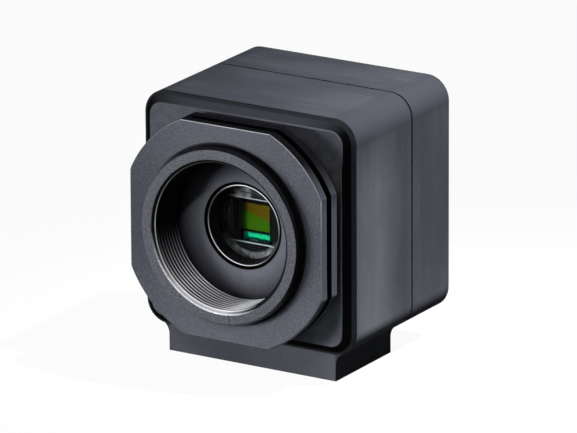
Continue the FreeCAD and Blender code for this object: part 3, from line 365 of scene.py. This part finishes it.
def retainer_finish():
    """Black ring whose narrow front rim is cut bright, with painted highlights on the rim at its upper right
    and lower left.
    """
    graph = Graph("retainer_black", (0.006, 0.006, 0.007), 0.45, Specular_IOR_Level=0.03)
    _, y, _ = graph.axes()
    rim = graph.both(graph.spread(y, RETAINER_FACE + 0.04 * MM, RETAINER_FACE + 0.01 * MM),
                     graph.inside(graph.radius(), 6.70 * MM, 6.79 * MM, 0.04 * MM))
    grain = graph.noise(graph.place, 3000, 2.0)
    bright = graph.mix(grain, (0.42, 0.43, 0.45), (0.62, 0.63, 0.65))
    x, _, z = graph.axes()
    # painted highlight: the bright rim lit at the upper right and lower left, dark across the other diagonal
    painted_sheen = graph.math("ADD", graph.math("MULTIPLY", x, 0.55), graph.math("SUBTRACT", z, AXIS_HEIGHT))
    share = graph.spread(graph.math("ABSOLUTE", painted_sheen), 2.6 * MM, 7.6 * MM)
    bright = graph.mix(share, (0.05, 0.05, 0.055), bright)
    graph.set("Base Color", graph.mix(rim, (0.006, 0.006, 0.007), bright))
    graph.set("Roughness", graph.spread(rim, 0.0, 1.0, 0.5, 0.32))
    graph.set("Metallic", graph.math("MULTIPLY", rim, 0.9))
    ridges = graph.math("SINE", graph.math("MULTIPLY", y, 2 * math.pi / (0.25 * MM)))
    graph.bump(graph.math("MULTIPLY", ridges, graph.math("SUBTRACT", 1.0, rim)), 0.02 * MM, 0.6)
    return graph.material


def mask_finish():
    """Blackened brushed sheet with painted reflections in grey above its opening and on the lower land, and
    painted highlights along the opening's edges.
    """
    graph = Graph("mask_black", (0.02, 0.02, 0.022), 0.4, Specular_IOR_Level=0.02)
    x, y, z = graph.axes()
    up = graph.math("SUBTRACT", z, AXIS_HEIGHT)
    radius = graph.radius()
    brushed = graph.noise(graph.scaled(700, 700, 300), 1.0, 3.0, 0.65)
    # painted reflections: grey patches on the black sheet above the opening and on the lower land
    painted_light_patches = graph.noise(graph.scaled(330, 1, 520), 1.0, 1.0)
    grey = graph.mix(graph.spread(brushed, 0.35, 0.65), (0.05, 0.05, 0.055), (0.30, 0.30, 0.32))
    streak = graph.noise(graph.scaled(260, 1, 1500), 1.0, 2.0)
    painted_light_patches = graph.math("MULTIPLY", graph.spread(painted_light_patches, 0.40, 0.56, 0.25, 1.0),
                        graph.spread(streak, 0.42, 0.58, 0.2, 1.0))
    upper = graph.both(graph.spread(up, 3.5 * MM, 3.8 * MM), painted_light_patches)
    lower = graph.both(graph.spread(up, -2.4 * MM, -5.0 * MM), graph.spread(radius, 5.05 * MM, 5.45 * MM))
    colour = graph.mix(graph.math("MAXIMUM", upper, lower), BLACK, grey)
    level = graph.math("ABSOLUTE", up)
    # painted highlights: bright lines along the opening's top and bottom edges, brighter towards the right
    edge = graph.both(graph.inside(level, MASK_HALF_HEIGHT, MASK_HALF_HEIGHT + 0.10 * MM, 0.05 * MM),
                      graph.spread(graph.math("ABSOLUTE", x), 4.15 * MM, 4.0 * MM),
                      graph.spread(y, MASK_FACE + 0.30 * MM, MASK_FACE + 0.25 * MM))
    ends = graph.spread(x, -3.4 * MM, -0.6 * MM, 0.12, 0.9)
    colour = graph.mix(graph.both(edge, ends), colour, (0.62, 0.70, 0.70))
    graph.set("Base Color", colour)
    graph.set("Roughness", graph.spread(brushed, 0.3, 0.7, 0.3, 0.45))
    graph.bump(brushed, 0.01 * MM, 0.5)
    return graph.material


def die_finish():
    """Image area in the colours of its filter layer, with shielded columns and readout circuits."""
    graph = Graph("sensor_silicon", (0.01, 0.01, 0.012), 0.25, Specular_IOR_Level=0.01)
    x, _, z = graph.axes()
    up = graph.math("SUBTRACT", z, AXIS_HEIGHT)
    soft = 0.03 * MM
    slope = graph.math("ADD", up, graph.math("MULTIPLY", x, 0.305))
    split = graph.spread(slope, -0.10 * MM, 0.30 * MM)
    image = graph.mix(split, (0.042, 0.155, 0.001), (0.120, 0.083, 0.002))
    rows = graph.inside(up, -IMAGE_HALF_HEIGHT, IMAGE_HALF_HEIGHT, soft)
    area = graph.both(graph.inside(x, IMAGE_LEFT, IMAGE_RIGHT, soft), rows)
    columns = graph.both(graph.inside(x, -3.50 * MM, -3.14 * MM, soft), rows)
    colour = graph.mix(columns, (0.005, 0.006, 0.006), (0.016, 0.070, 0.009))
    colour = graph.mix(area, colour, image)
    across = graph.inside(x, IMAGE_LEFT + 0.08 * MM, IMAGE_RIGHT, 0.15 * MM)
    blocks = graph.noise(graph.scaled(1500, 1, 420), 1.0, 0.0)
    step = graph.math("MULTIPLY", graph.spread(blocks, 0.48, 0.52), 0.16 * MM)
    edge = graph.math("ADD", up, step)
    band = graph.both(across, graph.inside(up, -4.30 * MM, -2.70 * MM, soft))
    bright = graph.both(graph.inside(x, -2.1 * MM, IMAGE_RIGHT, 0.1 * MM),
                        graph.inside(edge, -3.45 * MM, -2.76 * MM, soft))
    lower = graph.both(graph.inside(x, -1.9 * MM, IMAGE_RIGHT, 0.1 * MM),
                      graph.inside(edge, -4.06 * MM, -3.86 * MM, soft))
    colour = graph.mix(band, colour, (0.006, 0.24, 0.20))
    colour = graph.mix(bright, colour, (0.010, 0.74, 0.30))
    colour = graph.mix(lower, colour, (0.35, 0.80, 0.70))
    graph.set("Base Color", colour)
    cells = graph.noise(graph.place, 9000, 1.0)
    graph.set("Roughness", graph.spread(cells, 0.3, 0.7, 0.2, 0.32))
    return graph.material


def glass_finish(name, tint, share):
    """Clear coated glass: seen through, with a faint reflection."""
    graph = Graph(name, tint, 0.05)
    tree = graph.tree
    clear = tree.nodes.new("ShaderNodeBsdfTransparent")
    clear.inputs[0].default_value = (*tint, 1.0)
    gloss = tree.nodes.new("ShaderNodeBsdfGlossy")
    dust = graph.noise(graph.place, 1500, 2.0)
    graph.feed(gloss.inputs["Roughness"], graph.spread(dust, 0.3, 0.8, 0.02, 0.08))
    fresnel = tree.nodes.new("ShaderNodeFresnel")
    fresnel.inputs["IOR"].default_value = 1.35
    mix = tree.nodes.new("ShaderNodeMixShader")
    graph.feed(mix.inputs[0], graph.math("MULTIPLY", fresnel.outputs[0], share))
    tree.links.new(clear.outputs[0], mix.inputs[1])
    tree.links.new(gloss.outputs[0], mix.inputs[2])
    tree.links.new(mix.outputs[0], tree.nodes["Material Output"].inputs["Surface"])
    return graph.material


def rubber_finish():
    """Black rubber, painted lighter along its top edge, where it lies in the light."""
    graph = Graph("gasket_rubber", (0.008, 0.008, 0.009), 0.8, Specular_IOR_Level=0.02)
    grain = graph.noise(graph.place, 2500, 2.0)
    # painted light: lighter towards the top edge
    painted_top_light = graph.spread(graph.axes()[2], HOUSING_HIGH.z - 3 * MM, HOUSING_HIGH.z - 0.6 * MM)
    graph.set("Base Color", graph.mix(painted_top_light, (0.008, 0.008, 0.009), (0.075, 0.078, 0.090)))
    graph.set("Roughness", graph.spread(grain, 0.3, 0.7, 0.7, 0.9))
    graph.bump(grain, 0.02 * MM, 0.4)
    return graph.material


def metal_finish(name, dark, light, roughness, scale=(400, 400, 3000)):
    """Plain or plated metal with fine tool marks."""
    graph = Graph(name, light, roughness, 1.0)
    marks = graph.noise(graph.scaled(*scale), 1.0, 3.0, 0.6)
    graph.set("Base Color", graph.mix(graph.spread(marks, 0.3, 0.7), dark, light))
    graph.set("Roughness", graph.spread(marks, 0.3, 0.7, roughness * 0.8, roughness * 1.3))
    graph.bump(marks, 0.006 * MM, 0.5)
    return graph.material


def plastic_finish(name, dark, light, roughness, scale=2200):
    """Moulded plastic with a fine spark-eroded grain."""
    graph = Graph(name, light, roughness)
    grain = graph.noise(graph.place, scale, 3.0, 0.6)
    graph.set("Base Color", graph.mix(graph.spread(grain, 0.3, 0.7), dark, light))
    graph.set("Roughness", graph.spread(grain, 0.3, 0.7, roughness * 0.85, roughness * 1.15))
    graph.bump(grain, 0.012 * MM, 0.5)
    return graph.material


def board_finish():
    """Green solder resist over a copper pattern."""
    graph = Graph("circuit_board", (0.01, 0.09, 0.03), 0.35)
    tracks = graph.noise(graph.scaled(900, 40, 160), 1.0, 0.0)
    traces = graph.inside(tracks, 0.47, 0.53, 0.01)
    graph.set("Base Color", graph.mix(traces, (0.008, 0.075, 0.025), (0.02, 0.15, 0.05)))
    graph.bump(traces, 0.02 * MM, 0.5)
    return graph.material


# ---------------------------------------------------------------- modelled pieces

def new_mesh(name, vertices, faces, finish, sharp=32):
    mesh = bpy.data.meshes.new(name)
    mesh.from_pydata(vertices, [], faces)
    piece = bpy.data.objects.new(name, mesh)
    bpy.context.scene.collection.objects.link(piece)
    work = bmesh.new()
    work.from_mesh(mesh)
    bmesh.ops.recalc_face_normals(work, faces=work.faces)
    work.to_mesh(mesh)
    work.free()
    mesh.shade_smooth()
    mesh.set_sharp_from_angle(angle=math.radians(sharp))
    mesh.materials.append(finish)
    return piece


def thread_offset(turns):
    """Depth of a 60 degree thread, 0 at the crest and 1 at the root, after so many turns."""
    place = turns % 1.0
    crest, root = 0.16, 0.10
    slope = (1.0 - crest - root) / 2
    if place < crest:
        return 0.0
    if place < crest + slope:
        return (place - crest) / slope
    if place < crest + slope + root:
        return 1.0
    return (1.0 - place) / slope


def threaded_ring(finish):
    """The mount ring with a helical lens thread in place of the plain bore, and a wider chamfer."""
    segments, steps = 288, 10
    start = RING_FACE + MOUTH_DEPTH
    rows = int((RING_BACK - start) / THREAD_PITCH * steps)
    mouth, broken = THREAD_RADIUS + MOUTH_FLARE, 0.05 * MM
    outside = [(RING_BACK, RING_RADIUS), (RING_FACE + RING_CHAMFER, RING_RADIUS),
               (RING_FACE, RING_RADIUS - RING_CHAMFER), (RING_FACE, mouth + broken),
               (RING_FACE + broken, mouth)]
    vertices, profile = [], len(outside) + rows + 1
    for segment in range(segments):
        share = segment / segments
        angle = 2 * math.pi * share
        points = list(outside)
        for row in range(rows + 1):
            along = start + (RING_BACK - start) * row / rows
            lead = min(1.0, (along - start) / THREAD_PITCH + 0.15)
            cut = thread_offset((along - start) / THREAD_PITCH - share) * lead
            points.append((along, THREAD_RADIUS + THREAD_DEPTH * cut))
        for along, radius in points:
            vertices.append((radius * math.cos(angle), along, AXIS_HEIGHT + radius * math.sin(angle)))
    faces = []
    for segment in range(segments):
        here, there = segment * profile, (segment + 1) % segments * profile
        for row in range(profile):
            ahead = (row + 1) % profile
            faces.append((here + row, here + ahead, there + ahead, there + row))
    piece = new_mesh("mount_ring_threaded", vertices, faces, finish)
    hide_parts("mount_ring")
    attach(piece, "mount_ring")
    return piece


# ---------------------------------------------------------------- stage

def look(camera, centre, azimuth, elevation, roll, distance, aside, above):
    """Places the camera round centre, shifted sideways so that the object lies off the middle."""
    back = Vector((math.sin(azimuth) * math.cos(elevation), -math.cos(azimuth) * math.cos(elevation),
                   math.sin(elevation)))
    flat = Vector((math.cos(azimuth), math.sin(azimuth), 0.0))
    upright = back.cross(flat)
    right = flat * math.cos(roll) + upright * math.sin(roll)
    up = upright * math.cos(roll) - flat * math.sin(roll)
    turn = Matrix((right, up, back)).transposed().to_4x4()
    turn.translation = centre + back * distance + right * aside + up * above
    camera.matrix_world = turn


def make_camera():
    """A long lens 1.2 m away, 31.55 degrees to the right of the front and 17.45 degrees up."""
    data = bpy.data.cameras.new("camera")
    data.sensor_width = 36.0
    data.lens = 461.8
    data.clip_start = 0.05
    camera = bpy.data.objects.new("camera", data)
    bpy.context.scene.collection.objects.link(camera)
    look(camera, Vector((0, SHELL_FRONT, AXIS_HEIGHT)), math.radians(31.55), math.radians(17.45),
         math.radians(-0.30), 1.2, 0.00604, 0.00085)
    bpy.context.scene.camera = camera


def softbox(name, place, target, width, height, power, beam=180.0):
    """A rectangular lamp of so many watts, aimed at target, with its beam in degrees."""
    data = bpy.data.lights.new(name, "AREA")
    data.shape = "RECTANGLE"
    data.size = width
    data.size_y = height
    data.energy = power
    data.spread = math.radians(beam)
    lamp = bpy.data.objects.new(name, data)
    bpy.context.scene.collection.objects.link(lamp)
    lamp.location = place
    lamp.visible_camera = False
    lamp.rotation_euler = (Vector(target) - Vector(place)).to_track_quat("-Z", "Y").to_euler()
    return lamp


def make_lights():
    """Lamps high right, low front left and rear left, narrow ones beside, on bore and corner, and a fill."""
    middle = Vector((0.0, 0.0, AXIS_HEIGHT))
    high_right = Vector((0.40, 0.20, 0.894)) * 0.70
    beside = Vector((43 * MM, 16 * MM, 44 * MM))
    bore_bottom = Vector((-1 * MM, -14 * MM, 12 * MM))
    low_corner = Vector((21 * MM, -9 * MM, 5 * MM))
    softbox("high_right", middle + high_right, middle, 0.20, 0.12, 0.4)
    softbox("high_right_grid", beside + high_right, beside, 0.03, 0.03, 0.083, 12.4)
    softbox("front_left", (-0.48, -0.51, 0.042), middle, 0.36, 0.09, 6.9)
    softbox("front_above", (0.04, -0.42, 0.38), bore_bottom, 0.09, 0.07, 0.009, 7.0)
    softbox("front_low", (0.12, -0.60, 0.03), low_corner, 0.02, 0.02, 0.0005, 2.6)
    softbox("rear_left", (-0.25, 0.80, 0.035), middle, 0.50, 0.06, 2.6)
    softbox("front_fill", (0.10, -0.80, 0.12), middle, 0.50, 0.30, 0.16)


def seen_ray(tree):
    """1 for the rays that show a background: straight to the camera, or by way of gloss or glass."""
    path = tree.nodes.new("ShaderNodeLightPath")
    result = path.outputs["Is Camera Ray"]
    for label in ("Is Glossy Ray", "Is Transmission Ray"):
        either = tree.nodes.new("ShaderNodeMath")
        either.operation = "MAXIMUM"
        tree.links.new(result, either.inputs[0])
        tree.links.new(path.outputs[label], either.inputs[1])
        result = either.outputs[0]
    return result


def make_floor():
    """Pale floor, white where it is seen, that keeps a little of the object's shadow."""
    half, drop, white = 3.0, 0.05 * MM, 0.95
    mesh = bpy.data.meshes.new("floor")
    mesh.from_pydata([(x, y, -drop) for x, y in ((-half, -half), (half, -half), (half, half), (-half, half))],
                     [], [(0, 1, 2, 3)])
    floor = bpy.data.objects.new("floor", mesh)
    bpy.context.scene.collection.objects.link(floor)
    graph = Graph("floor", (0.06, 0.06, 0.06), 0.9, Specular_IOR_Level=0.0)
    tree = graph.tree
    seen = seen_ray(tree)
    graph.set("Base Color", graph.mix(seen, (0.06, 0.06, 0.06), (0.85, 0.85, 0.85)))
    glow = tree.nodes.new("ShaderNodeEmission")
    glow.inputs["Color"].default_value = (1, 1, 1, 1)
    mix = tree.nodes.new("ShaderNodeMixShader")
    graph.feed(mix.inputs[0], graph.math("MULTIPLY", seen, white))
    tree.links.new(graph.shader.outputs[0], mix.inputs[1])
    tree.links.new(glow.outputs[0], mix.inputs[2])
    tree.links.new(mix.outputs[0], tree.nodes["Material Output"].inputs["Surface"])
    mesh.materials.append(graph.material)


def make_world():
    """White where it is seen, and a weak fill as light."""
    world = bpy.data.worlds.new("studio")
    world.use_nodes = True
    tree = world.node_tree
    level = tree.nodes.new("ShaderNodeMapRange")
    level.inputs["To Min"].default_value = 0.05
    level.inputs["To Max"].default_value = 0.95
    tree.links.new(seen_ray(tree), level.inputs["Value"])
    tree.links.new(level.outputs[0], tree.nodes["Background"].inputs["Strength"])
    tree.nodes["Background"].inputs["Color"].default_value = (1, 1, 1, 1)
    bpy.context.scene.world = world


# ---------------------------------------------------------------- dressing

def dress(finish, *names):
    for name in names:
        node = NODES[name]
        node.data.materials.clear()
        node.data.materials.append(finish)


def dress_all():
    dress(housing_finish(), "front_housing", "rear_housing")
    dress(cover_finish(), "front_cover")
    dress(retainer_finish(), "filter_retainer")
    dress(mask_finish(), "aperture_mask")
    dress(die_finish(), "sensor_die")
    dress(glass_finish("filter_coated_glass", (0.97, 0.985, 0.98), 0.02), "filter_glass")
    dress(glass_finish("sensor_cover_glass", (0.99, 0.99, 0.99), 0.02), "sensor_glass")
    dress(rubber_finish(), "front_seal", "rear_seal", "dust_gasket")
    dress(board_finish(), "sensor_board", "main_board", "interface_board")
    dress(plastic_finish("ceramic_dark", (0.005, 0.005, 0.006), (0.010, 0.010, 0.011), 0.5), "sensor_package")
    dress(metal_finish("steel_black", (0.03, 0.03, 0.032), (0.06, 0.06, 0.062), 0.38),
          "tie_screws", "ring_lock_screws", "io_connector_shell")
    dress(metal_finish("steel_plain", (0.42, 0.43, 0.44), (0.6, 0.6, 0.61), 0.3),
          "network_jack_shield", "io_connector_nut", "board_screws")
    dress(metal_finish("brass_plain", (0.55, 0.38, 0.13), (0.72, 0.53, 0.22), 0.3),
          "front_spacers", "rear_spacers")
    dress(metal_finish("gold_contact", (0.72, 0.48, 0.14), (0.88, 0.64, 0.24), 0.22),
          "network_jack_contacts", "io_connector_pins")
    dress(plastic_finish("moulded_black", (0.012, 0.012, 0.013), (0.022, 0.022, 0.024), 0.5),
          "network_jack", "io_connector_insert", "front_board_connector", "rear_board_connector",
          "processor", "memory_chips", "network_controller", "network_magnetics", "power_inductor")
    dress(plastic_finish("lamp_white", (0.6, 0.6, 0.56), (0.75, 0.75, 0.7), 0.4), "status_lamps")
    dress(plastic_finish("light_pipe", (0.55, 0.58, 0.57), (0.7, 0.73, 0.72), 0.12, 900), "light_pipes")


make_camera()
dress_all()
threaded_ring(ring_finish())
make_lights()
make_floor()
make_world()
